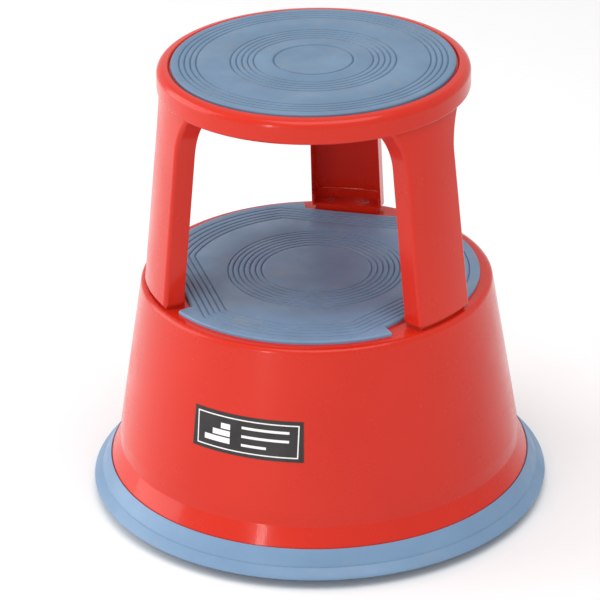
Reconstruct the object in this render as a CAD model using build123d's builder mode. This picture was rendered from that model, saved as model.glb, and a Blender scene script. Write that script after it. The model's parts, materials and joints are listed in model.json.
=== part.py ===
"""Kick step stool: a rolling stool with two round steps, on spring-loaded twin-wheel castors.

The frame is +Z up, with the origin on the stool's axis at floor level. -Y is the front.
The castors are modelled sprung out, so the bumper ring hangs clear of the floor.
"""

import os
from math import cos, radians, sin

from build123d import *

# Overall sizes, mm
stool_height = 430.0
base_radius = 217.0
ring_clearance = 9.5
sheet = 1.0

# Upper step: a pressed cap with a rolled collar
upper_mat_radius = 130.0
upper_mat_thickness = 4.5
upper_recess_radius = 131.5
collar_radius = 143.2
collar_lip_radius = 139.0
collar_crest_radius = 132.9
collar_crest = stool_height - 1.4
collar_shoulder = stool_height - 3.1
collar_shoulder_round = 7.0
collar_bottom = 405.7

# Legs: three channels that are pressed in one piece with the collar
leg_azimuths = {"right": -42.5, "back": 77.5, "left": 197.5}
leg_bottom = 221.5
leg_top = 408.5
leg_radius_at_bottom = 161.0
leg_radius_at_top = 140.6
leg_half_width_at_bottom = 34.4
leg_half_width_at_top = 31.8
leg_channel_depth = 18.0
leg_bend_radius = 4.0
leg_corner_radius = 6.0
arch_start = 366.0
arch_end = 406.5
arch_half_width = 47.4

# Lower step: a deep-drawn conical drum
tread_top = 216.5
lower_mat_radius = 153.0
lower_mat_thickness = 3.5
notch_distance = 131.0
notch_half_width = 48.0
notch_twist = -2.5
drum_rim_radius = 164.4
drum_rim_round = 5.0
drum_wall_bottom = 64.0
drum_wall_bottom_radius = 189.5
drum_wall_bottom_bend = 20.0
drum_crease = (190.8, 50.0)
drum_crease_bend = 3.0
drum_flare = (199.5, 33.0)
drum_hem_bottom = 18.0

# Bumper ring: a sloping skirt, a small step and a rounded rubbing edge
ring_ledge = 4.5
ring_lip = 1.0
ring_skirt = (209.2, 19.2)
ring_step_inner = (208.6, 18.0)
ring_step_outer = (209.8, 17.3)
ring_nose_height = 10.5
ring_nose_bevel = 1.5
ring_foot_bevel = 1.2

# Feet: a tray welded in the end of each leg and bolted to the tread from below
foot_plate_thickness = 7.0
foot_set_back = 4.0
foot_lip_height = 9.0
foot_lip_thickness = 1.5
foot_inner_distance = 137.0
foot_bolt_distance = 148.0
foot_bolt_offset = 17.0
foot_bolt_radius = 4.0
foot_bolt_hole_radius = 4.5
foot_bolt_head_height = 5.3
foot_bolt_head_radius = 7.5
foot_washer_radius = 8.0
foot_washer_thickness = 1.6

# Castor carrier: a three-armed pressing welded inside the drum
castor_circle_radius = 135.0
carrier_bottom = 110.0
carrier_thickness = 2.5
carrier_arm_width = 64.0
carrier_hub_radius = 50.0
carrier_hub_hole_radius = 27.0
carrier_flange_depth = 15.0
carrier_flange_thickness = 2.5
carrier_tab_height = 25.0
carrier_wall_gap = 0.1

# Castor: wheels, swivel and spring-loaded plunger
castor_travel = 12.0
wheel_radius = 20.0
wheel_rim_radius = 16.0
wheel_width = 12.0
wheel_inner_face = 4.0
wheel_bore_radius = 3.05
axle_radius = 3.0
axle_head_radius = 5.0
axle_head_thickness = 1.5
axle_head_inner = 16.4
trail = 18.0
hood_top = 50.8
hood_boss_radius = 12.0
hood_boss_height = 7.8
hood_cover_inner = 22.0
hood_cover_outer = 24.0
hood_cover_half_width = 17.5
hood_web_half_width = 3.5
hood_eye_radius = 8.5
kingpin_radius = 4.0
kingpin_top = 90.0
plunger_bottom = 52.0
plunger_sleeve_radius = 9.0
plunger_collar_bottom = 69.3
plunger_collar_radius = 15.0
plunger_collar_thickness = 3.0
plunger_rod_radius = 7.0
plunger_rod_top = 120.0
plunger_bore_radius = 4.05
plunger_bore_top = 92.0
thrust_washer_radius = 12.0
thrust_washer_thickness = 1.0
clip_bottom = 112.9
clip_thickness = 1.2
clip_radius = 11.0
clip_groove_radius = 6.2
cup_bottom = 66.0
cup_floor = 3.0
cup_radius = 19.0
cup_wall = 2.0
cup_flange_radius = 28.5
cup_flange_thickness = 3.0
sliding_gap = 0.06
spring_wire_radius = 1.2
spring_radius = 11.8
spring_turns = 6
cup_screw_offset = 23.8
cup_screw_radius = 2.5
cup_screw_head_radius = 4.5
cup_screw_head_height = 3.2
cup_screw_length = 11.0
cup_nut_radius = 4.6
cup_nut_height = 4.0

# Label on the front left of the drum
label_bottom = 112.0
label_top = 150.0
label_start = -129.3
label_end = -94.5
label_thickness = 0.3

castor_azimuths = list(leg_azimuths.values())


def on_slope(z, low, high):
    """Radius at height z on the straight line through two (radius, height) points."""
    (low_radius, low_z), (high_radius, high_z) = low, high
    return low_radius + (high_radius - low_radius) * (z - low_z) / (high_z - low_z)


def leg_radius(z):
    """Outer radius of the legs' conical face at height z."""
    return on_slope(z, (leg_radius_at_bottom, leg_bottom), (leg_radius_at_top, leg_top))


def leg_half_width(z):
    """Half the width of a leg at height z, below its arch."""
    return on_slope(z, (leg_half_width_at_bottom, leg_bottom), (leg_half_width_at_top, leg_top))


def drum_radius(z):
    """Outer radius of the drum's straight wall at height z."""
    return on_slope(z, (drum_wall_bottom_radius, drum_wall_bottom), (drum_rim_radius, tread_top))


def around(azimuth, distance, sideways=0.0):
    """Point at a distance along an azimuth from the axis, and then sideways from it."""
    along = Vector(cos(radians(azimuth)), sin(radians(azimuth)))
    across = Vector(-along.Y, along.X)
    return along * distance + across * sideways


def cone_under(radius_at, z_low, z_high, inset):
    """Solid of revolution below a sloping face, drawn in by an inset."""
    with BuildPart() as cone:
        with BuildSketch(Plane.XZ):
            with BuildLine():
                Polyline(
                    (0, z_low),
                    (radius_at(z_low) - inset, z_low),
                    (radius_at(z_high) - inset, z_high),
                    (0, z_high),
                    close=True,
                )
            make_face()
        revolve(axis=Axis.Z)
    return cone.part


def leg_block(inset, z_low, z_high):
    """Filled leg along +X with the arched sides, drawn in by an inset on its three outer sides."""
    cone = cone_under(leg_radius, z_low, z_high, inset)
    side_low = (leg_half_width(z_low) - inset, z_low)
    side_high = (leg_half_width(arch_start) - inset, arch_start)
    arch_tip = (arch_half_width - inset, arch_end)
    side_direction = (side_high[0] - side_low[0], side_high[1] - side_low[1])
    with BuildPart() as block:
        with BuildSketch(Plane.YZ):
            with BuildLine():
                Line((0, z_low), side_low)
                Line(side_low, side_high)
                TangentArc(side_high, arch_tip, tangent=side_direction)
                Line(arch_tip, (arch_half_width - inset, z_high))
                Line((arch_half_width - inset, z_high), (0, z_high))
                mirror(about=Plane.YZ)
            make_face()
        extrude(amount=2 * leg_radius_at_bottom)
        add(cone, mode=Mode.INTERSECT)
        outer_face = block.faces().filter_by(GeomType.CONE).sort_by(Axis.X)[-1]
        side_edges = outer_face.edges().filter_by(lambda edge: z_low + 1 < edge.center().Z < z_high - 1.5)
        fillet(side_edges, radius=leg_bend_radius - inset)
    return block.part


def foot_bolt_points():
    """Every foot bolt's place on the tread."""
    return [
        around(azimuth, foot_bolt_distance, side * foot_bolt_offset)
        for azimuth in leg_azimuths.values()
        for side in (-1, 1)
    ]


def screw_points():
    """Every cup screw's place on the castor carrier."""
    return [
        around(azimuth, castor_circle_radius + side * cup_screw_offset)
        for azimuth in castor_azimuths
        for side in (-1, 1)
    ]


os.makedirs("parts", exist_ok=True)

# ---------------------------------------------------------------- upper step and its legs

leg_solid = leg_block(0, leg_bottom, leg_top)
leg_cavity = leg_block(sheet, leg_bottom - 10, leg_top + 10)
leg_inside = cone_under(leg_radius, leg_bottom - 10, leg_top + 10, leg_channel_depth)

flange_radius = leg_radius_at_bottom - leg_channel_depth
flange_distance = (flange_radius**2 - leg_half_width_at_bottom**2) ** 0.5
corner_centre = (flange_distance + leg_corner_radius - 0.6, leg_bottom + leg_corner_radius)

# The free lower corner of each side flange is rounded off.
with BuildPart() as leg:
    add(leg_solid)
    add(leg_cavity, mode=Mode.SUBTRACT)
    add(leg_inside, mode=Mode.SUBTRACT)
    with BuildSketch(Plane.XZ):
        with Locations(corner_centre):
            Rectangle(2 * leg_corner_radius, 2 * leg_corner_radius, align=(Align.MAX, Align.MAX))
            Circle(leg_corner_radius, mode=Mode.SUBTRACT)
    extrude(amount=arch_half_width, both=True, mode=Mode.SUBTRACT)

with BuildPart() as upper_step_shell:
    with BuildSketch(Plane.XZ):
        with BuildLine():
            mat_seat = stool_height - upper_mat_thickness
            FilletPolyline(
                (0, mat_seat),
                (upper_recess_radius, mat_seat),
                (collar_crest_radius, collar_crest),
                (collar_radius, collar_shoulder),
                (collar_radius, collar_bottom),
                (collar_lip_radius, collar_bottom),
                radius=(1.2, 1.5, collar_shoulder_round, 2.5),
            )
            offset(amount=sheet, side=Side.RIGHT)
        make_face()
    revolve(axis=Axis.Z)
    for azimuth in leg_azimuths.values():
        add(leg.part.rotate(Axis.Z, azimuth))
upper_step_shell.part.label = "upper_step_shell"
export_step(upper_step_shell.part, "parts/upper_step_shell.step")

with BuildPart() as upper_tread_mat:
    with BuildSketch(Plane.XY.offset(mat_seat)):
        Circle(upper_mat_radius)
    extrude(amount=upper_mat_thickness)
    fillet(upper_tread_mat.edges().group_by(Axis.Z)[-1], radius=2.0)
upper_tread_mat.part.label = "upper_tread_mat"
export_step(upper_tread_mat.part, "parts/upper_tread_mat.step")

# ---------------------------------------------------------------- lower step

with BuildPart() as lower_step_drum:
    with BuildSketch(Plane.XZ):
        with BuildLine():
            FilletPolyline(
                (0, tread_top),
                (drum_rim_radius, tread_top),
                (drum_wall_bottom_radius, drum_wall_bottom),
                drum_crease,
                drum_flare,
                (drum_flare[0], drum_hem_bottom),
                radius=(drum_rim_round, drum_wall_bottom_bend, drum_crease_bend, 3.0),
            )
            offset(amount=sheet, side=Side.RIGHT)
        make_face()
    revolve(axis=Axis.Z)
    with BuildSketch(Plane.XY.offset(tread_top)):
        with Locations(*foot_bolt_points()):
            Circle(foot_bolt_hole_radius)
    extrude(amount=-2 * sheet, mode=Mode.SUBTRACT)
lower_step_drum.part.label = "lower_step_drum"
export_step(lower_step_drum.part, "parts/lower_step_drum.step")

with BuildPart() as lower_tread_mat:
    with BuildSketch(Plane.XY.offset(tread_top)):
        Circle(lower_mat_radius)
        for azimuth in leg_azimuths.values():
            turned = azimuth + notch_twist
            with Locations(Location(around(turned, notch_distance), (0, 0, turned))):
                Rectangle(
                    2 * (lower_mat_radius - notch_distance),
                    2 * notch_half_width,
                    align=(Align.MIN, Align.CENTER),
                    mode=Mode.SUBTRACT,
                )
    extrude(amount=lower_mat_thickness)
lower_tread_mat.part.label = "lower_tread_mat"
export_step(lower_tread_mat.part, "parts/lower_tread_mat.step")

# The ring is stretched over the drum's hem, which stands on its inner ledge.
with BuildPart() as base_bumper_ring:
    with BuildSketch(Plane.XZ):
        with BuildLine():
            Polyline(
                (drum_flare[0], drum_flare[1] - 1.5 * ring_lip),
                (drum_flare[0] + ring_lip, drum_flare[1]),
                ring_skirt,
                ring_step_inner,
                ring_step_outer,
                (base_radius - ring_nose_bevel / 2, ring_nose_height + ring_nose_bevel),
                (base_radius, ring_nose_height),
                (base_radius - ring_foot_bevel, ring_clearance),
                (drum_flare[0] - ring_ledge, ring_clearance),
                (drum_flare[0] - ring_ledge, drum_hem_bottom),
                (drum_flare[0], drum_hem_bottom),
                close=True,
            )
        make_face()
    revolve(axis=Axis.Z)
base_bumper_ring.part.label = "base_bumper_ring"
export_step(base_bumper_ring.part, "parts/base_bumper_ring.step")

# ---------------------------------------------------------------- feet

foot_hollow = leg_block(sheet + foot_lip_thickness, leg_bottom - 10, leg_top + 10)

with BuildPart() as foot_pad:
    with BuildSketch(Plane.XY.offset(tread_top)):
        with Locations((foot_inner_distance, 0)):
            Rectangle(60, 2 * (leg_half_width_at_bottom - foot_set_back), align=(Align.MIN, Align.CENTER))
    extrude(amount=leg_bottom - tread_top)
    add(cone_under(leg_radius, tread_top, leg_bottom, foot_set_back), mode=Mode.INTERSECT)
foot_plate_top = tread_top + foot_plate_thickness
foot_lip_top = foot_plate_top + foot_lip_height

# The tray stands in the leg's end. Its pad below the leg is set back from the leg's faces.
with BuildPart() as foot_plate:
    add(leg_cavity)
    with BuildSketch(Plane.XY.offset(leg_bottom)):
        with Locations((foot_inner_distance, 0)):
            Rectangle(60, 2 * arch_half_width, align=(Align.MIN, Align.CENTER))
    extrude(amount=foot_lip_top - leg_bottom, mode=Mode.INTERSECT)
    tray = split(foot_hollow, bisect_by=Plane.XY.offset(foot_plate_top), keep=Keep.TOP, mode=Mode.PRIVATE)
    add(tray, mode=Mode.SUBTRACT)
    add(foot_pad.part)
    with BuildSketch(Plane.XY.offset(tread_top)):
        with Locations((foot_bolt_distance, foot_bolt_offset), (foot_bolt_distance, -foot_bolt_offset)):
            Circle(foot_bolt_radius)
    extrude(amount=foot_plate_thickness, mode=Mode.SUBTRACT)

for side, azimuth in leg_azimuths.items():
    placed = foot_plate.part.rotate(Axis.Z, azimuth)
    placed.label = f"foot_plate_{side}"
    export_step(placed, f"parts/foot_plate_{side}.step")

washer_bottom = tread_top - sheet - foot_washer_thickness

with BuildPart() as foot_washers:
    with BuildSketch(Plane.XY.offset(washer_bottom)):
        with Locations(*foot_bolt_points()):
            Circle(foot_washer_radius)
            Circle(foot_bolt_hole_radius, mode=Mode.SUBTRACT)
    extrude(amount=foot_washer_thickness)
foot_washers.part.label = "foot_washers"
export_step(foot_washers.part, "parts/foot_washers.step")

with BuildPart() as foot_bolts:
    with BuildSketch(Plane.XY.offset(washer_bottom)):
        with Locations(*foot_bolt_points()):
            RegularPolygon(foot_bolt_head_radius, 6)
    extrude(amount=-foot_bolt_head_height)
    with BuildSketch(Plane.XY.offset(washer_bottom)):
        with Locations(*foot_bolt_points()):
            Circle(foot_bolt_radius)
    extrude(amount=foot_plate_top - washer_bottom)
foot_bolts.part.label = "foot_bolts"
export_step(foot_bolts.part, "parts/foot_bolts.step")

# ---------------------------------------------------------------- castor carrier

carrier_top = carrier_bottom + carrier_thickness
tab_top = carrier_top + carrier_tab_height
flange_bottom = carrier_bottom - carrier_flange_depth
carrier_inset = sheet + carrier_wall_gap
drum_inside = cone_under(drum_radius, flange_bottom, tab_top, carrier_inset)
tab_inside = cone_under(drum_radius, carrier_top, tab_top + 1, carrier_inset + carrier_flange_thickness)

with BuildPart() as castor_carrier:
    with BuildSketch(Plane.XY.offset(carrier_bottom)):
        for azimuth in castor_azimuths:
            with Locations(Location((0, 0, 0), (0, 0, azimuth))):
                Rectangle(base_radius, carrier_arm_width, align=(Align.MIN, Align.CENTER))
    extrude(amount=tab_top - carrier_bottom)
    add(tab_inside, mode=Mode.SUBTRACT)
    with BuildSketch(Plane.XY.offset(carrier_bottom)):
        Circle(carrier_hub_radius)
    extrude(amount=carrier_thickness)
    for azimuth in castor_azimuths:
        for side in (-1, 1):
            flange_middle = side * (carrier_arm_width - carrier_flange_thickness) / 2
            with BuildSketch(Plane.XY.offset(carrier_bottom)):
                flange_start = around(azimuth, carrier_hub_radius, flange_middle)
                with Locations(Location(flange_start, (0, 0, azimuth))):
                    Rectangle(
                        castor_circle_radius,
                        carrier_flange_thickness,
                        align=(Align.MIN, Align.CENTER),
                    )
            extrude(amount=-carrier_flange_depth)
    add(drum_inside, mode=Mode.INTERSECT)
    with BuildSketch(Plane.XY.offset(carrier_bottom)):
        Circle(carrier_hub_hole_radius)
        with Locations(*[around(azimuth, castor_circle_radius) for azimuth in castor_azimuths]):
            Circle(plunger_rod_radius + sliding_gap)
        with Locations(*screw_points()):
            Circle(cup_screw_radius)
    extrude(amount=carrier_thickness, mode=Mode.SUBTRACT)
castor_carrier.part.label = "castor_carrier"
export_step(castor_carrier.part, "parts/castor_carrier.step")

screw_head_top = carrier_bottom - cup_flange_thickness

with BuildPart() as cup_screws:
    with BuildSketch(Plane.XY.offset(screw_head_top)):
        with Locations(*screw_points()):
            Circle(cup_screw_head_radius)
    extrude(amount=-cup_screw_head_height)
    with BuildSketch(Plane.XY.offset(screw_head_top)):
        with Locations(*screw_points()):
            Circle(cup_screw_radius)
    extrude(amount=cup_screw_length)
cup_screws.part.label = "cup_screws"
export_step(cup_screws.part, "parts/cup_screws.step")

with BuildPart() as cup_nuts:
    with BuildSketch(Plane.XY.offset(carrier_top)):
        with Locations(*screw_points()):
            RegularPolygon(cup_nut_radius, 6)
            Circle(cup_screw_radius, mode=Mode.SUBTRACT)
    extrude(amount=cup_nut_height)
cup_nuts.part.label = "cup_nuts"
export_step(cup_nuts.part, "parts/cup_nuts.step")

# ---------------------------------------------------------------- one castor, on the Z axis

with BuildPart() as castor_cup:
    with BuildSketch(Plane.XY.offset(cup_bottom)):
        Circle(cup_radius)
    extrude(amount=carrier_bottom - cup_bottom)
    with BuildSketch(Plane.XY.offset(carrier_bottom)):
        Circle(cup_flange_radius)
    extrude(amount=-cup_flange_thickness)
    with BuildSketch(Plane.XY.offset(cup_bottom + cup_floor)):
        Circle(cup_radius - cup_wall)
    extrude(amount=carrier_bottom - cup_bottom, mode=Mode.SUBTRACT)
    with BuildSketch(Plane.XY.offset(cup_bottom)):
        Circle(plunger_sleeve_radius + sliding_gap)
    extrude(amount=cup_floor, mode=Mode.SUBTRACT)
    with BuildSketch(Plane.XY.offset(carrier_bottom)):
        with Locations((cup_screw_offset, 0), (-cup_screw_offset, 0)):
            Circle(cup_screw_radius)
    extrude(amount=-cup_flange_thickness, mode=Mode.SUBTRACT)
    fillet(castor_cup.edges().group_by(Axis.Z)[0].sort_by(SortBy.RADIUS)[-1], radius=1.5)

collar_top_z = plunger_collar_bottom + plunger_collar_thickness

with BuildPart() as castor_plunger:
    with BuildSketch(Plane.XY.offset(plunger_bottom)):
        Circle(plunger_sleeve_radius)
    extrude(amount=plunger_collar_bottom - plunger_bottom)
    with BuildSketch(Plane.XY.offset(plunger_collar_bottom)):
        Circle(plunger_collar_radius)
    extrude(amount=plunger_collar_thickness)
    with BuildSketch(Plane.XY.offset(collar_top_z)):
        Circle(plunger_rod_radius)
    extrude(amount=plunger_rod_top - collar_top_z)
    chamfer(castor_plunger.edges().group_by(Axis.Z)[-1], length=1.0)
    with BuildSketch(Plane.XY.offset(plunger_bottom)):
        Circle(plunger_bore_radius)
    extrude(amount=plunger_bore_top - plunger_bottom, mode=Mode.SUBTRACT)
    with BuildSketch(Plane.XY.offset(clip_bottom)):
        Circle(plunger_rod_radius)
        Circle(clip_groove_radius, mode=Mode.SUBTRACT)
    extrude(amount=clip_thickness, mode=Mode.SUBTRACT)

with BuildPart() as castor_clip:
    with BuildSketch(Plane.XY.offset(clip_bottom)):
        Circle(clip_radius)
        Circle(clip_groove_radius, mode=Mode.SUBTRACT)
        with Locations((clip_radius, 0)):
            Rectangle(2 * clip_radius, 1.5 * clip_groove_radius, mode=Mode.SUBTRACT)
    extrude(amount=clip_thickness)

spring_bottom = collar_top_z + spring_wire_radius + 0.1
spring_height = carrier_bottom - collar_top_z - 2 * spring_wire_radius - 0.2

with BuildPart() as castor_spring:
    with BuildLine():
        Helix(
            pitch=spring_height / spring_turns,
            height=spring_height,
            radius=spring_radius,
            center=(0, 0, spring_bottom),
        )
    with BuildSketch(Plane(origin=(spring_radius, 0, spring_bottom), z_dir=(0, 1, 0))):
        Circle(spring_wire_radius)
    sweep(is_frenet=True)

with BuildPart() as castor_thrust_washer:
    with BuildSketch(Plane.XY.offset(plunger_bottom)):
        Circle(thrust_washer_radius)
        Circle(kingpin_radius + 0.3, mode=Mode.SUBTRACT)
    extrude(amount=-thrust_washer_thickness)

with BuildPart() as castor_kingpin:
    with BuildSketch(Plane.XY.offset(hood_top - hood_boss_height)):
        Circle(kingpin_radius)
    extrude(amount=kingpin_top - hood_top + hood_boss_height)
    chamfer(castor_kingpin.edges().group_by(Axis.Z)[-1], length=0.8)

axle_plane = Plane(origin=(-trail, 0, wheel_radius), x_dir=(1, 0, 0), z_dir=(0, -1, 0))

with BuildPart() as castor_hood:
    with BuildSketch(axle_plane):
        Circle(hood_eye_radius)
        with Locations((trail, hood_top - wheel_radius)):
            Rectangle(2 * hood_boss_radius, hood_boss_height, align=(Align.CENTER, Align.MAX))
        make_hull()
    extrude(amount=hood_web_half_width, both=True)
    with BuildSketch(axle_plane):
        with BuildLine():
            CenterArc((0, 0), hood_cover_outer, 0, 180)
            Line((-hood_cover_outer, 0), (-hood_cover_inner, 0))
            CenterArc((0, 0), hood_cover_inner, 0, 180)
            Line((hood_cover_inner, 0), (hood_cover_outer, 0))
        make_face()
    extrude(amount=hood_cover_half_width, both=True)
    with BuildSketch(Plane.XY.offset(hood_top)):
        Circle(hood_boss_radius)
    extrude(amount=-hood_boss_height)
    with BuildSketch(Plane.XY.offset(hood_top)):
        Circle(kingpin_radius)
    extrude(amount=-hood_boss_height, mode=Mode.SUBTRACT)
    with BuildSketch(axle_plane):
        Circle(axle_radius)
    extrude(amount=hood_cover_half_width, both=True, mode=Mode.SUBTRACT)

with BuildPart() as castor_axle:
    with BuildSketch(axle_plane):
        Circle(axle_radius)
    extrude(amount=axle_head_inner, both=True)
    for side in (-1, 1):
        with BuildSketch(axle_plane.offset(side * axle_head_inner)):
            Circle(axle_head_radius)
        extrude(amount=side * axle_head_thickness)


def wheel_on(side):
    """One wheel centre on the axle, on the side given as -1 or 1."""
    inner = axle_plane.offset(side * wheel_inner_face)
    outer = axle_plane.offset(side * (wheel_inner_face + wheel_width))
    with BuildPart() as wheel:
        with BuildSketch(inner):
            Circle(wheel_rim_radius)
            Circle(wheel_bore_radius, mode=Mode.SUBTRACT)
        extrude(amount=side * wheel_width)
        with BuildSketch(outer):
            Circle(wheel_rim_radius - 2.0)
            Circle(axle_head_radius + 1.0, mode=Mode.SUBTRACT)
        extrude(amount=-side * 2.5, mode=Mode.SUBTRACT)
    return wheel.part


def tyre_on(side):
    """The soft tread moulded round one wheel centre."""
    with BuildPart() as tyre:
        with BuildSketch(axle_plane.offset(side * wheel_inner_face)):
            Circle(wheel_radius)
            Circle(wheel_rim_radius, mode=Mode.SUBTRACT)
        extrude(amount=side * wheel_width)
        fillet(tyre.edges().filter_by(GeomType.CIRCLE).sort_by(SortBy.RADIUS)[-2:], radius=2.5)
    return tyre.part


castor_pieces = {
    "castor_cup": castor_cup.part,
    "castor_plunger": castor_plunger.part,
    "castor_clip": castor_clip.part,
    "castor_spring": castor_spring.part,
    "castor_thrust_washer": castor_thrust_washer.part,
    "castor_kingpin": castor_kingpin.part,
    "castor_hood": castor_hood.part,
    "castor_axle": castor_axle.part,
    "castor_wheel_a": wheel_on(-1),
    "castor_wheel_b": wheel_on(1),
    "castor_tyre_a": tyre_on(-1),
    "castor_tyre_b": tyre_on(1),
}

# The fixed pieces turn with their carrier arm. The swivelling ones all trail the same way.
turned_with_arm = ("castor_cup", "castor_clip", "castor_plunger", "castor_spring")

for side, azimuth in leg_azimuths.items():
    for piece_name, piece in castor_pieces.items():
        turn = azimuth if piece_name in turned_with_arm else 0.0
        place = around(azimuth, castor_circle_radius)
        placed = piece.moved(Location((place.X, place.Y, 0), (0, 0, turn)))
        placed.label = f"{piece_name}_{side}"
        export_step(placed, f"parts/{piece_name}_{side}.step")

# ---------------------------------------------------------------- label

with BuildPart() as front_label:
    with BuildSketch(Plane.XZ):
        with BuildLine():
            Polyline(
                (drum_radius(label_bottom), label_bottom),
                (drum_radius(label_bottom) + label_thickness, label_bottom),
                (drum_radius(label_top) + label_thickness, label_top),
                (drum_radius(label_top), label_top),
                close=True,
            )
        make_face()
    revolve(axis=Axis.Z, revolution_arc=label_end - label_start)
placed_label = front_label.part.rotate(Axis.Z, label_start)
placed_label.label = "front_label"
export_step(placed_label, "parts/front_label.step")
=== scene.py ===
"""Looks of the kick step stool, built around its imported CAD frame. Metres, +Z up, front at -Y."""

import json
from math import atan2, cos, pi, radians, sin

import bpy
from mathutils import Matrix, Vector


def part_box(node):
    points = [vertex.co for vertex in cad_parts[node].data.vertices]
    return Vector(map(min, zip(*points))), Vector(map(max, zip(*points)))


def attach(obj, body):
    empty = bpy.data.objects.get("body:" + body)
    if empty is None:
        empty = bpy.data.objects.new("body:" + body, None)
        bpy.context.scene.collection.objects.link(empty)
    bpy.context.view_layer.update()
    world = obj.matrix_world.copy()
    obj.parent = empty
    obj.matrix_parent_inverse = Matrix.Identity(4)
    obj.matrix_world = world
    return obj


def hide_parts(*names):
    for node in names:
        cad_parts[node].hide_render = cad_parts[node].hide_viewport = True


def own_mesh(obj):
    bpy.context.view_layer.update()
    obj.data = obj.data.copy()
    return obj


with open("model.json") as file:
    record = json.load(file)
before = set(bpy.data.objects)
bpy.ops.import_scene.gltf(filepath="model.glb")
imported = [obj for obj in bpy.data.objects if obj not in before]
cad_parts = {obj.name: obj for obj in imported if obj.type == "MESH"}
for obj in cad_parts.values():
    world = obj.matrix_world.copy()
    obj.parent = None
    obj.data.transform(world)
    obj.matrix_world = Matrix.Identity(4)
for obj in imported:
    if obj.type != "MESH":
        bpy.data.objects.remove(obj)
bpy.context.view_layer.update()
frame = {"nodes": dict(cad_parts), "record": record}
nodes = frame["nodes"]

MM = 0.001
SIDES = ("right", "back", "left")
STOOL = "stool"


# ------------------------------------------------------------------ places read from the frame

def centre(node):
    """Middle of a CAD node's box."""
    low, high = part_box(node)
    return (low + high) / 2


def azimuth_of(node):
    """Direction of a CAD node's middle from the stool's axis, in radians."""
    middle = centre(node)
    return atan2(middle.y, middle.x)


TOP_MAT_LOW, TOP_MAT_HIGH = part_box("upper_tread_mat")
LOW_MAT_LOW, LOW_MAT_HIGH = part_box("lower_tread_mat")
RING_LOW, RING_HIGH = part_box("base_bumper_ring")
DRUM_LOW, DRUM_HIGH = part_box("lower_step_drum")
LEG_ANGLES = {side: azimuth_of(f"castor_cup_{side}") for side in SIDES}


# ------------------------------------------------------------------ material helpers

def new_material(name, colour, roughness, metallic=0.0, specular=0.5):
    """A Principled material with constant values on its own sockets."""
    material = bpy.data.materials.new(name)
    material.use_nodes = True
    shader = material.node_tree.nodes["Principled BSDF"]
    shader.inputs["Base Color"].default_value = (*colour, 1.0)
    shader.inputs["Roughness"].default_value = roughness
    shader.inputs["Metallic"].default_value = metallic
    shader.inputs["Specular IOR Level"].default_value = specular
    return material, shader


def add_node(material, kind, **inputs):
    """A new node with some of its input sockets set by name."""
    node = material.node_tree.nodes.new(kind)
    for socket, value in inputs.items():
        node.inputs[socket.replace("_", " ")].default_value = value
    return node


def link(material, source, target):
    """A wire from an output socket to an input socket."""
    material.node_tree.links.new(source, target)


def object_coordinates(material, scale=(1, 1, 1)):
    """Object coordinates, stretched along each axis."""
    coordinates = add_node(material, "ShaderNodeTexCoord")
    mapping = add_node(material, "ShaderNodeMapping")
    mapping.inputs["Scale"].default_value = scale
    link(material, coordinates.outputs["Object"], mapping.inputs["Vector"])
    return mapping.outputs["Vector"]


def noise(material, scale, detail=3.0, stretch=(1, 1, 1), roughness=0.5):
    """Noise in object space, with its scale in features per metre."""
    node = add_node(material, "ShaderNodeTexNoise", Scale=scale, Detail=detail, Roughness=roughness)
    link(material, object_coordinates(material, stretch), node.inputs["Vector"])
    return node.outputs["Fac"]


def remap(material, value, from_low, from_high, to_low, to_high):
    """A value carried from one range to another, and clamped."""
    node = add_node(material, "ShaderNodeMapRange")
    node.inputs["From Min"].default_value = from_low
    node.inputs["From Max"].default_value = from_high
    node.inputs["To Min"].default_value = to_low
    node.inputs["To Max"].default_value = to_high
    link(material, value, node.inputs["Value"])
    return node.outputs["Result"]


def multiply(material, first, second):
    """Product of two outputs."""
    node = add_node(material, "ShaderNodeMath")
    node.operation = "MULTIPLY"
    link(material, first, node.inputs[0])
    link(material, second, node.inputs[1])
    return node.outputs["Value"]


def blend_colour(material, amount, first, second):
    """Mix of two colours, each a plain colour or another node's output."""
    node = add_node(material, "ShaderNodeMix")
    node.data_type = "RGBA"
    link(material, amount, node.inputs["Factor"])
    for socket, colour in ((node.inputs[6], first), (node.inputs[7], second)):
        if isinstance(colour, tuple):
            socket.default_value = (*colour, 1.0)
        else:
            link(material, colour, socket)
    return node.outputs[2]


def bump(material, shader, height, strength, distance, below=None):
    """Adds a bump to the shader's normal, over another bump if one is given."""
    node = add_node(material, "ShaderNodeBump", Strength=strength, Distance=distance)
    link(material, height, node.inputs["Height"])
    if below is not None:
        link(material, below.outputs["Normal"], node.inputs["Normal"])
    link(material, node.outputs["Normal"], shader.inputs["Normal"])
    return node


def height_band(material, low, middle, high):
    """1 at a height above the floor and 0 away from it, from the piece's own Z."""
    coordinates = add_node(material, "ShaderNodeTexCoord")
    split = add_node(material, "ShaderNodeSeparateXYZ")
    link(material, coordinates.outputs["Object"], split.inputs["Vector"])
    rising = remap(material, split.outputs["Z"], low, middle, 0.0, 1.0)
    falling = remap(material, split.outputs["Z"], middle, high, 1.0, 0.0)
    return multiply(material, rising, falling)


def set_colour(material, shader, amount, first, second):
    """Base colour that runs from one colour to another."""
    link(material, blend_colour(material, amount, first, second), shader.inputs["Base Color"])


def set_roughness(material, shader, pattern, pattern_range, roughness_range):
    """Roughness that follows a pattern, carried from the pattern's range to its own."""
    level = remap(material, pattern, *pattern_range, *roughness_range)
    link(material, level, shader.inputs["Roughness"])


# ------------------------------------------------------------------ materials

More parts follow.
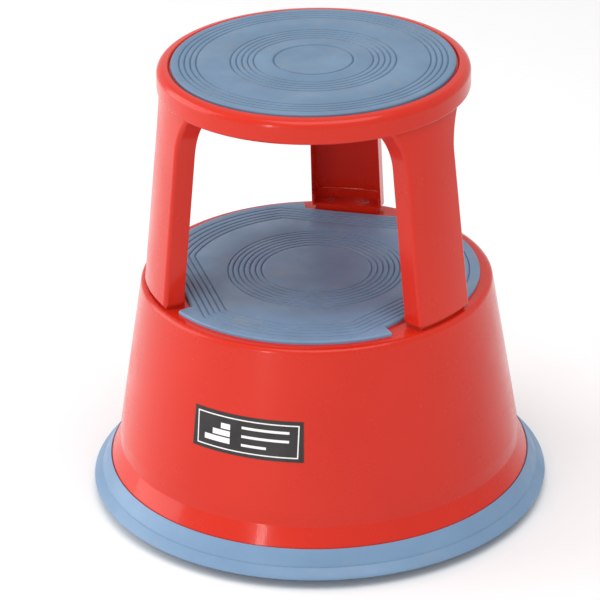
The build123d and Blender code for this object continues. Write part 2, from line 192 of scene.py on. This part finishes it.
def red_paint():
    """Glossy stove enamel: faint orange peel, slow shade drift, dust specks and scuffs near the kick line."""
    material, shader = new_material("red_paint", (0.60, 0.022, 0.008), 0.24, specular=0.20)
    shader.inputs["Coat Weight"].default_value = 0.22
    shader.inputs["Coat Roughness"].default_value = 0.08
    drift = remap(material, noise(material, 6.0, 2.0), 0.35, 0.65, 0.0, 1.0)
    body = blend_colour(material, drift, (0.62, 0.023, 0.008), (0.57, 0.019, 0.007))
    scuff_lines = noise(material, 28.0, 6.0, stretch=(1, 1, 7), roughness=0.7)
    scuffs = remap(material, scuff_lines, 0.66, 0.74, 0.0, 0.6)
    kick_zone = height_band(material, 0.030, 0.055, 0.110)
    worn = multiply(material, scuffs, kick_zone)
    body = blend_colour(material, worn, body, (0.34, 0.030, 0.020))
    specks = remap(material, noise(material, 420.0, 2.0), 0.74, 0.78, 0.0, 0.35)
    body = blend_colour(material, specks, body, (0.44, 0.018, 0.010))
    link(material, body, shader.inputs["Base Color"])
    smudges = noise(material, 18.0, 5.0, roughness=0.65)
    set_roughness(material, shader, smudges, (0.35, 0.75), (0.17, 0.36))
    peel = bump(material, shader, noise(material, 320.0, 2.0), 0.10, 0.0006)
    bump(material, shader, noise(material, 14.0, 1.0), 0.05, 0.004, below=peel)
    return material


def rubber(name, light, dark, dusty, low_rough, high_rough, grain):
    """Moulded rubber: mottled shade, trodden-in dust and a fine grain."""
    material, shader = new_material(name, light, low_rough, specular=0.42)
    mottle = remap(material, noise(material, 16.0, 6.0, roughness=0.62), 0.36, 0.66, 0.0, 1.0)
    body = blend_colour(material, mottle, light, dark)
    dust = remap(material, noise(material, 34.0, 8.0, roughness=0.7), 0.54, 0.74, 0.0, 0.55)
    set_colour(material, shader, dust, body, dusty)
    sheen = noise(material, 30.0, 4.0)
    set_roughness(material, shader, sheen, (0.35, 0.7), (low_rough, high_rough))
    fine = bump(material, shader, noise(material, 1400.0, 2.0), grain, 0.0003)
    bump(material, shader, noise(material, 60.0, 3.0), 0.08, 0.001, below=fine)
    return material


def zinc_plate():
    """Zinc-plated steel: pale spangle and a slight yellow tarnish."""
    material, shader = new_material("zinc_plate", (0.62, 0.63, 0.64), 0.34, metallic=1.0)
    spangle = add_node(material, "ShaderNodeTexVoronoi", Scale=240.0)
    link(material, object_coordinates(material), spangle.inputs["Vector"])
    patches = remap(material, spangle.outputs["Distance"], 0.0, 0.7, 0.0, 1.0)
    body = blend_colour(material, patches, (0.66, 0.67, 0.68), (0.52, 0.53, 0.55))
    tarnish = remap(material, noise(material, 40.0, 5.0), 0.5, 0.75, 0.0, 0.5)
    set_colour(material, shader, tarnish, body, (0.58, 0.52, 0.40))
    set_roughness(material, shader, noise(material, 90.0, 4.0), (0.3, 0.7), (0.26, 0.5))
    bump(material, shader, noise(material, 700.0, 3.0), 0.06, 0.0003)
    return material


def dark_steel():
    """Oil-blackened spring steel with drawn lines and brighter rubs."""
    material, shader = new_material("dark_steel", (0.30, 0.31, 0.33), 0.30, metallic=1.0)
    drawn = noise(material, 260.0, 3.0, stretch=(1, 1, 6))
    rubs = remap(material, drawn, 0.4, 0.7, 0.0, 1.0)
    set_colour(material, shader, rubs, (0.22, 0.23, 0.25), (0.45, 0.46, 0.48))
    set_roughness(material, shader, drawn, (0.3, 0.7), (0.24, 0.42))
    bump(material, shader, drawn, 0.08, 0.0003)
    return material


def moulded_plastic():
    """Black nylon with spark texture and grey handling dust."""
    black = (0.030, 0.031, 0.034)
    material, shader = new_material("moulded_plastic", black, 0.45)
    dust = remap(material, noise(material, 70.0, 6.0), 0.5, 0.72, 0.0, 0.5)
    set_colour(material, shader, dust, black, (0.11, 0.105, 0.10))
    set_roughness(material, shader, noise(material, 50.0, 3.0), (0.3, 0.7), (0.38, 0.6))
    bump(material, shader, noise(material, 1800.0, 2.0), 0.15, 0.0002)
    return material


def label_film():
    """Charcoal printed film, slightly washed out."""
    material, shader = new_material("label_film", (0.028, 0.026, 0.026), 0.38, specular=0.3)
    fade = remap(material, noise(material, 60.0, 4.0), 0.4, 0.7, 0.0, 1.0)
    set_colour(material, shader, fade, (0.026, 0.024, 0.024), (0.036, 0.033, 0.033))
    set_roughness(material, shader, noise(material, 90.0, 3.0), (0.3, 0.7), (0.30, 0.46))
    bump(material, shader, noise(material, 500.0, 2.0), 0.04, 0.0002)
    return material


def label_ink():
    """White screen ink with a slight grain."""
    material, shader = new_material("label_ink", (0.80, 0.79, 0.78), 0.42)
    wear = remap(material, noise(material, 300.0, 4.0), 0.5, 0.75, 0.0, 0.6)
    set_colour(material, shader, wear, (0.84, 0.83, 0.82), (0.62, 0.61, 0.60))
    bump(material, shader, noise(material, 900.0, 2.0), 0.05, 0.0001)
    return material


def studio_floor():
    """Plain pale paper."""
    paper = (0.93, 0.93, 0.93)
    material, shader = new_material("studio_floor", paper, 0.75, specular=0.2)
    tone = remap(material, noise(material, 3.0, 2.0), 0.4, 0.6, 0.0, 1.0)
    set_colour(material, shader, tone, paper, (0.925, 0.925, 0.925))
    return material


PAINT = red_paint()
MAT_RUBBER = rubber(
    "tread_rubber", light=(0.138, 0.228, 0.345), dark=(0.112, 0.188, 0.292), dusty=(0.185, 0.218, 0.245),
    low_rough=0.36, high_rough=0.55, grain=0.12,
)
# The lower mat is the same tread rubber as the upper one, painted lighter to stand in for the light that the
# upper step shades off it.
LOWER_MAT_PAINTED_LIGHTER_RUBBER = rubber(
    "tread_rubber_painted_lighter", light=(0.172, 0.290, 0.445), dark=(0.140, 0.240, 0.372), dusty=(0.260, 0.290, 0.300),
    low_rough=0.34, high_rough=0.52, grain=0.12,
)
RING_RUBBER = rubber(
    "ring_rubber", light=(0.170, 0.288, 0.445), dark=(0.154, 0.262, 0.410), dusty=(0.22, 0.29, 0.37),
    low_rough=0.34, high_rough=0.50, grain=0.06,
)
TYRE_RUBBER = rubber(
    "tyre_rubber", light=(0.19, 0.19, 0.20), dark=(0.15, 0.15, 0.16), dusty=(0.26, 0.25, 0.24),
    low_rough=0.50, high_rough=0.68, grain=0.15,
)
ZINC = zinc_plate()
DARK_STEEL = dark_steel()
PLASTIC = moulded_plastic()
LABEL_FILM = label_film()
LABEL_INK = label_ink()

SLOT_MATERIALS = {
    "red_paint": PAINT,
    "tread_rubber": MAT_RUBBER,
    "ring_rubber": RING_RUBBER,
    "zinc_steel": ZINC,
    "spring_steel": DARK_STEEL,
    "castor_plastic": PLASTIC,
    "castor_tyre": TYRE_RUBBER,
    "label_film": LABEL_FILM,
}

for subpart in frame["record"]["subparts"]:
    cad_object = nodes[subpart["node"]]
    cad_object.data.materials.clear()
    cad_object.data.materials.append(SLOT_MATERIALS[subpart["material_slot"]])


# ------------------------------------------------------------------ mesh helpers

def piece_from(name, points, faces, material, body=STOOL, sharp_angle=35.0, slot_name=None):
    """A mesh piece with smooth faces and sharp edges over an angle, riding on a body."""
    mesh = bpy.data.meshes.new(name)
    mesh.from_pydata([tuple(point) for point in points], [], faces)
    mesh.validate()
    mesh.update()
    mesh.shade_smooth()
    mesh.set_sharp_from_angle(angle=radians(sharp_angle))
    mesh.materials.append(material)
    piece = bpy.data.objects.new(name, mesh)
    bpy.context.scene.collection.objects.link(piece)
    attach(piece, body)
    return piece


def spun(name, rings, angles, material, closed_section=False, **options):
    """A solid made of rings. Each ring is a radius, or a function of the angle, and a height.

    A first or last ring of radius 0 closes the solid at its centre."""
    points = []
    starts = []
    for radius, height in rings:
        starts.append(len(points))
        if radius == 0:
            points.append((0.0, 0.0, height))
            continue
        for angle in angles:
            reach = radius(angle) if callable(radius) else radius
            points.append((reach * cos(angle), reach * sin(angle), height))
    count = len(angles)
    faces = []
    pairs = list(zip(range(len(rings)), range(1, len(rings))))
    if closed_section:
        pairs.append((len(rings) - 1, 0))
    for first, second in pairs:
        for step in range(count):
            after = (step + 1) % count
            inner = [starts[first] + step, starts[first] + after]
            outer = [starts[second] + after, starts[second] + step]
            if rings[first][0] == 0:
                faces.append((starts[first], outer[1], outer[0]))
            elif rings[second][0] == 0:
                faces.append((inner[0], starts[second], inner[1]))
            else:
                faces.append((inner[0], outer[1], outer[0], inner[1]))
    return piece_from(name, points, faces, material, **options)


def full_turn(count):
    """Angles of evenly spaced steps round the axis."""
    return [2 * pi * step / count for step in range(count)]


# Across and down, in half widths and depths of the groove.
GROOVE_LIP = ((0.72, -0.10), (0.45, -0.62))


def groove(radius, top, half_width=1.15 * MM, depth=1.3 * MM):
    """Ring offsets of one moulded groove with soft lips, as (radius, height) pairs."""
    far_lip = [(across, down) for across, down in GROOVE_LIP[::-1]]
    near_lip = [(-across, down) for across, down in GROOVE_LIP]
    profile = [(-1.0, 0.0), *near_lip, (0.0, -1.0), *far_lip, (1.0, 0.0)]
    return [(radius + across * half_width, top + down * depth) for across, down in profile]


# ------------------------------------------------------------------ upper tread mat

# Radii in millimetres.
MIDDLE_GROOVE_RADIUS = 36.2
INNER_GROOVE_RADII = (54.5, 59.8, 65.0, 70.2, 75.5)
EDGE_GROOVE_RADII = (106.8, 112.0, 117.3, 122.3)


def upper_mat():
    """Round mat: sunk middle disc in a raised rim, five grooves half way out and four near the edge."""
    top = TOP_MAT_HIGH.z
    bottom = TOP_MAT_LOW.z
    outer = TOP_MAT_HIGH.x
    disc = top - 0.2 * MM
    face = top - 0.3 * MM
    rings = [(0, disc), (20 * MM, disc), (34.5 * MM, disc)]
    rings += groove(MIDDLE_GROOVE_RADIUS * MM, top - 0.15 * MM, half_width=1.4 * MM, depth=1.6 * MM)
    rings += [(38.2 * MM, top), (40.6 * MM, top), (41.6 * MM, face)]
    for radius in INNER_GROOVE_RADII + EDGE_GROOVE_RADII:
        rings += groove(radius * MM, face)
    rings += [(outer - 1.6 * MM, face), (outer - 0.8 * MM, top - 0.5 * MM)]
    rings += [(outer - 0.25 * MM, top - 0.9 * MM), (outer, top - 1.6 * MM), (outer, bottom), (0, bottom)]
    piece = spun("upper_tread_mat_ribbed", rings, full_turn(240), MAT_RUBBER, slot_name="tread_rubber")
    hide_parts("upper_tread_mat")


# ------------------------------------------------------------------ lower tread mat

LOW_MAT_RADIUS = 153 * MM
NOTCH_TWIST = radians(-2.5)
NOTCH_DISTANCE = 131 * MM
NOTCH_HALF_ANGLE = radians(19.2)
NOTCH_ANGLES = [angle + NOTCH_TWIST for angle in LEG_ANGLES.values()]
CORNER_NUDGE = radians(0.02)

# In millimetres: radii, then radius and distance to the straight stretch, then drawn in and dropped.
ROUND_GROOVE_RADII = (51.8, 57.2, 62.5, 67.8, 73.0, 78.3, 83.0)
NOTCHED_GROOVES = ((119.4, 103.0), (125.0, 108.5), (130.6, 114.0), (136.6, 119.5), (143.0, 125.0))
LOW_MAT_EDGE = ((2.0, 0.0), (0.9, 0.25), (0.2, 0.9), (0.0, 1.8))


def turned_from(angle, direction):
    """Smallest angle between two directions."""
    return abs((angle - direction + pi) % (2 * pi) - pi)


def nearest_notch(angle):
    """Smallest angle between a direction and the middle of a notch."""
    return min(turned_from(angle, notch) for notch in NOTCH_ANGLES)


def outline_at(drawn_in):
    """The mat's edge, drawn in: round between the legs and notched at them."""
    def radius(angle):
        away = nearest_notch(angle)
        if away < NOTCH_HALF_ANGLE:
            return (NOTCH_DISTANCE - drawn_in) / cos(away)
        return LOW_MAT_RADIUS - drawn_in
    return radius


def rib_line(arc_radius, chord_distance):
    """A groove line that is round between the legs and runs straight past each of them."""
    def radius(angle):
        return min(arc_radius, chord_distance / cos(nearest_notch(angle)))
    return radius


def rib_groove(arc_radius, chord_distance, top):
    """One groove along a rib line."""
    rings = []
    for offset, height in groove(0.0, top):
        rings.append((rib_line(arc_radius + offset, chord_distance + offset), height))
    return rings


def lower_mat():
    """Mat of the first step: seven round grooves and five that follow the notched outline."""
    top = LOW_MAT_HIGH.z
    bottom = LOW_MAT_LOW.z
    angles = full_turn(480)
    for notch in NOTCH_ANGLES:
        for side in (-1, 1):
            for nudge in (-CORNER_NUDGE, CORNER_NUDGE):
                angles.append((notch + side * NOTCH_HALF_ANGLE + nudge) % (2 * pi))
    angles.sort()
    rings = [(0, top), (25 * MM, top), (48 * MM, top)]
    for radius in ROUND_GROOVE_RADII:
        rings += groove(radius * MM, top)
    for arc, chord in NOTCHED_GROOVES:
        rings += rib_groove(arc * MM, chord * MM, top)
    for drawn_in, drop in LOW_MAT_EDGE:
        rings.append((outline_at(drawn_in * MM), top - drop * MM))
    rings += [(outline_at(0.0), bottom), (0, bottom)]
    # The lower mat wears the tread rubber painted lighter against the shade under the upper step.
    piece = spun("lower_tread_mat_ribbed", rings, angles, LOWER_MAT_PAINTED_LIGHTER_RUBBER, slot_name="tread_rubber")
    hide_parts("lower_tread_mat")


# ------------------------------------------------------------------ bumper ring

RING_LIP_TOP = 33.0 * MM
RING_LEDGE = 18.0 * MM
RING_GROOVE_RADIUS = 208.8 * MM


def bumper_ring():
    """Soft ring with a lip against the drum, a parting groove and a rounded rubbing edge."""
    seat = DRUM_HIGH.x
    outer = RING_HIGH.x
    bottom = RING_LOW.z
    groove_at = RING_GROOVE_RADIUS
    rings = [
        (seat, RING_LIP_TOP - 1.5 * MM),
        (seat + 0.3 * MM, RING_LIP_TOP - 0.4 * MM),
        (seat + 0.9 * MM, RING_LIP_TOP),
        (seat + 1.5 * MM, RING_LIP_TOP - 0.5 * MM),
        (groove_at - 0.6 * MM, RING_LEDGE + 2.6 * MM),
        (groove_at + 0.1 * MM, RING_LEDGE + 1.3 * MM),
        (groove_at, RING_LEDGE + 0.5 * MM),
        (groove_at + 0.5 * MM, RING_LEDGE),
        (groove_at + 1.5 * MM, RING_LEDGE - 0.6 * MM),
        (outer - 1.5 * MM, bottom + 3.4 * MM),
        (outer - 0.5 * MM, bottom + 2.4 * MM),
        (outer, bottom + 1.5 * MM),
        (outer - 0.1 * MM, bottom + 0.7 * MM),
        (outer - 0.9 * MM, bottom + 0.1 * MM),
        (outer - 2.0 * MM, bottom),
        (seat - 3.5 * MM, bottom),
        (seat - 4.3 * MM, bottom + 0.4 * MM),
        (seat - 4.5 * MM, bottom + 1.2 * MM),
        (seat - 4.5 * MM, RING_LEDGE),
        (seat, RING_LEDGE),
    ]
    piece = spun(
        "base_bumper_ring_moulded", rings[::-1], full_turn(300), RING_RUBBER,
        closed_section=True, slot_name="ring_rubber", sharp_angle=50.0,
    )
    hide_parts("base_bumper_ring")


# ------------------------------------------------------------------ swept tubes: springs and welds

def tube_along(name, route, radius_at, material, body=STOOL, sides=12, **options):
    """A closed round bar along a route of points, with its radius a function of the step."""
    points = []
    count = len(route)
    for step, point in enumerate(route):
        before = route[max(step - 1, 0)]
        after = route[min(step + 1, count - 1)]
        forward = (after - before).normalized()
        across = forward.cross(Vector((0, 0, 1))).normalized()
        upward = across.cross(forward)
        for turn in range(sides):
            angle = 2 * pi * turn / sides
            points.append(point + (across * cos(angle) + upward * sin(angle)) * radius_at(step))
    faces = [tuple(range(sides))[::-1]]
    for step in range(count - 1):
        for turn in range(sides):
            after = (turn + 1) % sides
            low = step * sides
            high = low + sides
            faces.append((low + turn, low + after, high + after, high + turn))
    faces.append(tuple(range((count - 1) * sides, count * sides)))
    return piece_from(name, points, faces, material, body=body, **options)


WELD_STEP = 1.6 * MM
FEWEST_WELD_STEPS = 6
TOP_EDGE_DEPTH = 0.05 * MM


def weld_radius(size, last):
    """Radius of a lumpy weld at each step of its route, tapered towards both ends."""
    def radius_at(step):
        lumps = 1.0 + 0.16 * sin(1.9 * step) + 0.10 * sin(4.7 * step + 1.0)
        taper = min(1.0, 0.35 + 0.35 * min(step, last - step))
        return size * lumps * taper

    return radius_at


def edge_arc(node, middle, half_angle, inset, lift):
    """Points along the top outer edge of a CAD node, to both sides of an angle, drawn in and lifted."""
    corners = [vertex.co for vertex in nodes[node].data.vertices]
    top = max(corner.z for corner in corners)
    reach = 0.0
    for corner in corners:
        away = turned_from(atan2(corner.y, corner.x), middle)
        if corner.z > top - TOP_EDGE_DEPTH and away < half_angle:
            reach = max(reach, corner.xy.length)
    reach -= inset
    steps = max(FEWEST_WELD_STEPS, round(reach * 2 * half_angle / WELD_STEP))
    turns = [middle - half_angle + 2 * half_angle * step / steps for step in range(steps + 1)]
    return [Vector((reach * cos(turn), reach * sin(turn), top + lift)) for turn in turns]


def weld(name, node, middle, half_angle, inset, lift, size, material, slot_name):
    """A lumpy bead along the top outer edge of a CAD node."""
    route = edge_arc(node, middle, half_angle, inset, lift)
    radius_at = weld_radius(size, len(route) - 1)
    tube_along(name, route, radius_at, material, slot_name=slot_name, sides=10)


def welds():
    """Beads that hold each foot tray in its leg, and each carrier arm to the drum."""
    for side, angle in LEG_ANGLES.items():
        weld(
            f"foot_weld_{side}", f"foot_plate_{side}", angle, radians(10.8),
            inset=0.6 * MM, lift=0.2 * MM, size=1.3 * MM, material=PAINT, slot_name="red_paint",
        )
        weld(
            f"carrier_weld_{side}", "castor_carrier", angle, radians(9.0),
            inset=1.0 * MM, lift=0.0, size=1.7 * MM, material=ZINC, slot_name="zinc_steel",
        )


SPRING_TURNS = 6
SPRING_STEPS_PER_TURN = 40
SPRING_WIRE = 1.2 * MM
SPRING_FLAT_END = 0.08


def spring_climb(share):
    """Share of a spring's rise at a share of its turns: flat at both ends and gentle next to them."""
    past_end = (share - SPRING_FLAT_END) / (1 - 2 * SPRING_FLAT_END)
    steady = min(1.0, max(0.0, past_end))
    settled = 0.5 - 0.5 * cos(pi * steady)
    return 0.25 * settled + 0.75 * steady


def castor_springs():
    """Coil springs drawn in place of the CAD springs."""
    for side in SIDES:
        node = f"castor_spring_{side}"
        low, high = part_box(node)
        middle = centre(node)
        coil_radius = (high.x - low.x) / 2 - SPRING_WIRE
        total = SPRING_TURNS * SPRING_STEPS_PER_TURN
        rise = high.z - low.z - 2 * SPRING_WIRE
        route = []
        for step in range(total + 1):
            share = step / total
            angle = 2 * pi * SPRING_TURNS * share + LEG_ANGLES[side]
            along_x = middle.x + coil_radius * cos(angle)
            along_y = middle.y + coil_radius * sin(angle)
            height = low.z + SPRING_WIRE + rise * spring_climb(share)
            route.append(Vector((along_x, along_y, height)))
        spring = tube_along(
            f"castor_spring_coil_{side}", route, lambda step: SPRING_WIRE, DARK_STEEL,
            slot_name="spring_steel",
        )
        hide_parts(node)
        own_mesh(spring)


# ------------------------------------------------------------------ label print

LABEL_LOW, LABEL_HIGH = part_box("front_label")
LABEL_CORNERS = [vertex.co for vertex in nodes["front_label"].data.vertices]
LABEL_EDGE_DEPTH = 0.1 * MM


def label_reach(height):
    """Outer radius of the label film at its lower or upper edge."""
    return max(corner.xy.length for corner in LABEL_CORNERS if abs(corner.z - height) < LABEL_EDGE_DEPTH)


LABEL_FOOT_RADIUS = label_reach(LABEL_LOW.z)
LABEL_SLOPE = (LABEL_FOOT_RADIUS - label_reach(LABEL_HIGH.z)) / (LABEL_HIGH.z - LABEL_LOW.z)
LABEL_TURNS = [atan2(corner.y, corner.x) for corner in LABEL_CORNERS]
LABEL_MIDDLE_ANGLE = (min(LABEL_TURNS) + max(LABEL_TURNS)) / 2
PRINT_LIFT = 0.12 * MM
PRINT_LINE = 1.1 * MM
BORDER_HALF_WIDTH = 50.0 * MM
BORDER_HALF_HEIGHT = 15.6 * MM
STAIR_SLABS = 3
STAIR_LEFT = -42.0 * MM
STAIR_RIGHT = -15.5 * MM
STAIR_FOOT = -9.6 * MM
SLAB_INDENT = 8.5 * MM
SLAB_RISE = 6.6 * MM
SLAB_HEIGHT = 5.2 * MM
RULE_LEFT = -4.0 * MM
RULE_HEIGHT = 2.4 * MM
RULES = ((7.0 * MM, 41.0 * MM), (-1.2 * MM, 41.0 * MM), (-9.4 * MM, 20.0 * MM))


def on_label(across, up, lift):
    """Point on the label's face: across and up from its middle, lifted off the film."""
    height = (LABEL_LOW.z + LABEL_HIGH.z) / 2 + up
    radius = LABEL_FOOT_RADIUS - LABEL_SLOPE * (height - LABEL_LOW.z) + lift
    angle = LABEL_MIDDLE_ANGLE + across / radius
    return Vector((radius * cos(angle), radius * sin(angle), height))


def print_patches():
    """Left, bottom, right and top of every printed patch: a border, a stair of slabs and plain rules."""
    wide = BORDER_HALF_WIDTH
    tall = BORDER_HALF_HEIGHT
    patches = [
        (-wide, -tall, wide, -tall + PRINT_LINE),
        (-wide, tall - PRINT_LINE, wide, tall),
        (-wide, -tall + PRINT_LINE, -wide + PRINT_LINE, tall - PRINT_LINE),
        (wide - PRINT_LINE, -tall + PRINT_LINE, wide, tall - PRINT_LINE),
    ]
    for step in range(STAIR_SLABS):
        low = STAIR_FOOT + SLAB_RISE * step
        patches.append((STAIR_LEFT + SLAB_INDENT * step, low, STAIR_RIGHT, low + SLAB_HEIGHT))
    for up, right in RULES:
        patches.append((RULE_LEFT, up, right, up + RULE_HEIGHT))
    return patches


def label_print():
    """White print that lies on the label film, bent round the drum with it."""
    points = []
    faces = []
    for left, bottom, right, top in print_patches():
        spans = max(1, round((right - left) / (2 * MM)))
        start = len(points)
        for step in range(spans + 1):
            across = left + (right - left) * step / spans
            for up, lift in ((bottom, 0.0), (bottom, PRINT_LIFT), (top, PRINT_LIFT), (top, 0.0)):
                points.append(on_label(across, up, lift))
        for step in range(spans):
            for edge in range(4):
                here = start + 4 * step
                after = (edge + 1) % 4
                faces.append((here + edge, here + 4 + edge, here + 4 + after, here + after))
        faces.append((start, start + 1, start + 2, start + 3))
        end = start + 4 * spans
        faces.append((end + 3, end + 2, end + 1, end))
    piece_from("front_label_print", points, faces, LABEL_INK, slot_name="label_film")


upper_mat()
lower_mat()
bumper_ring()
castor_springs()
welds()
label_print()


# ------------------------------------------------------------------ studio

FLOOR_HALF = 6.0


def studio():
    """Pale floor, a soft bright surround and three soft lights."""
    mesh = bpy.data.meshes.new("studio_floor")
    corners = [(FLOOR_HALF * x, FLOOR_HALF * y, 0) for x, y in ((-1, -1), (1, -1), (1, 1), (-1, 1))]
    mesh.from_pydata(corners, [], [(0, 1, 2, 3)])
    mesh.materials.append(studio_floor())
    floor = bpy.data.objects.new("studio_floor", mesh)
    bpy.context.scene.collection.objects.link(floor)

    world = bpy.data.worlds.new("studio_surround")
    world.use_nodes = True
    background = world.node_tree.nodes["Background"]
    background.inputs["Color"].default_value = (1.0, 1.0, 1.0, 1.0)
    background.inputs["Strength"].default_value = 0.72
    bpy.context.scene.world = world

    soft_light("side_left", place=(-2.5, 0.5, 1.1), size=(2.4, 2.2), power=42.0)
    soft_light("strip_front", place=(-1.35, -2.25, 0.55), size=(0.22, 1.1), power=9.0)
    soft_light("top_front", place=(0.2, -0.7, 2.4), size=(2.0, 1.6), power=26.0)


def soft_light(name, place, size, power):
    """A rectangular light that faces the middle of the stool."""
    lamp = bpy.data.lights.new(name, "AREA")
    lamp.shape = "RECTANGLE"
    lamp.size, lamp.size_y = size
    lamp.energy = power
    light = bpy.data.objects.new(name, lamp)
    light.location = place
    aim = Vector((0, 0, 0.2)) - Vector(place)
    light.rotation_euler = aim.to_track_quat("-Z", "Y").to_euler()
    light.visible_camera = False
    bpy.context.scene.collection.objects.link(light)


def photo_camera():
    """Camera in front of the stool and above it, looking down at it from a distance."""
    distance = 2.6442
    height = 1.4760
    pitch = 0.4536
    yaw = -0.0061
    roll = -0.0183
    sensor_mm = 36.0
    lens_mm = 187.332
    forward = Vector((sin(yaw) * cos(pitch), cos(yaw) * cos(pitch), -sin(pitch)))
    level_right = Vector((cos(yaw), -sin(yaw), 0))
    level_up = level_right.cross(forward)
    right = cos(roll) * level_right + sin(roll) * level_up
    up = cos(roll) * level_up - sin(roll) * level_right
    lens = bpy.data.cameras.new("photo_camera")
    lens.sensor_width = sensor_mm
    lens.lens = lens_mm
    lens.clip_end = 50.0
    camera = bpy.data.objects.new("photo_camera", lens)
    axes = Matrix((right, up, -forward)).transposed().to_4x4()
    camera.matrix_world = Matrix.Translation((0, -distance, height)) @ axes
    bpy.context.scene.collection.objects.link(camera)
    bpy.context.scene.camera = camera


studio()
photo_camera()
bpy.context.scene.view_settings.view_transform = "Standard"
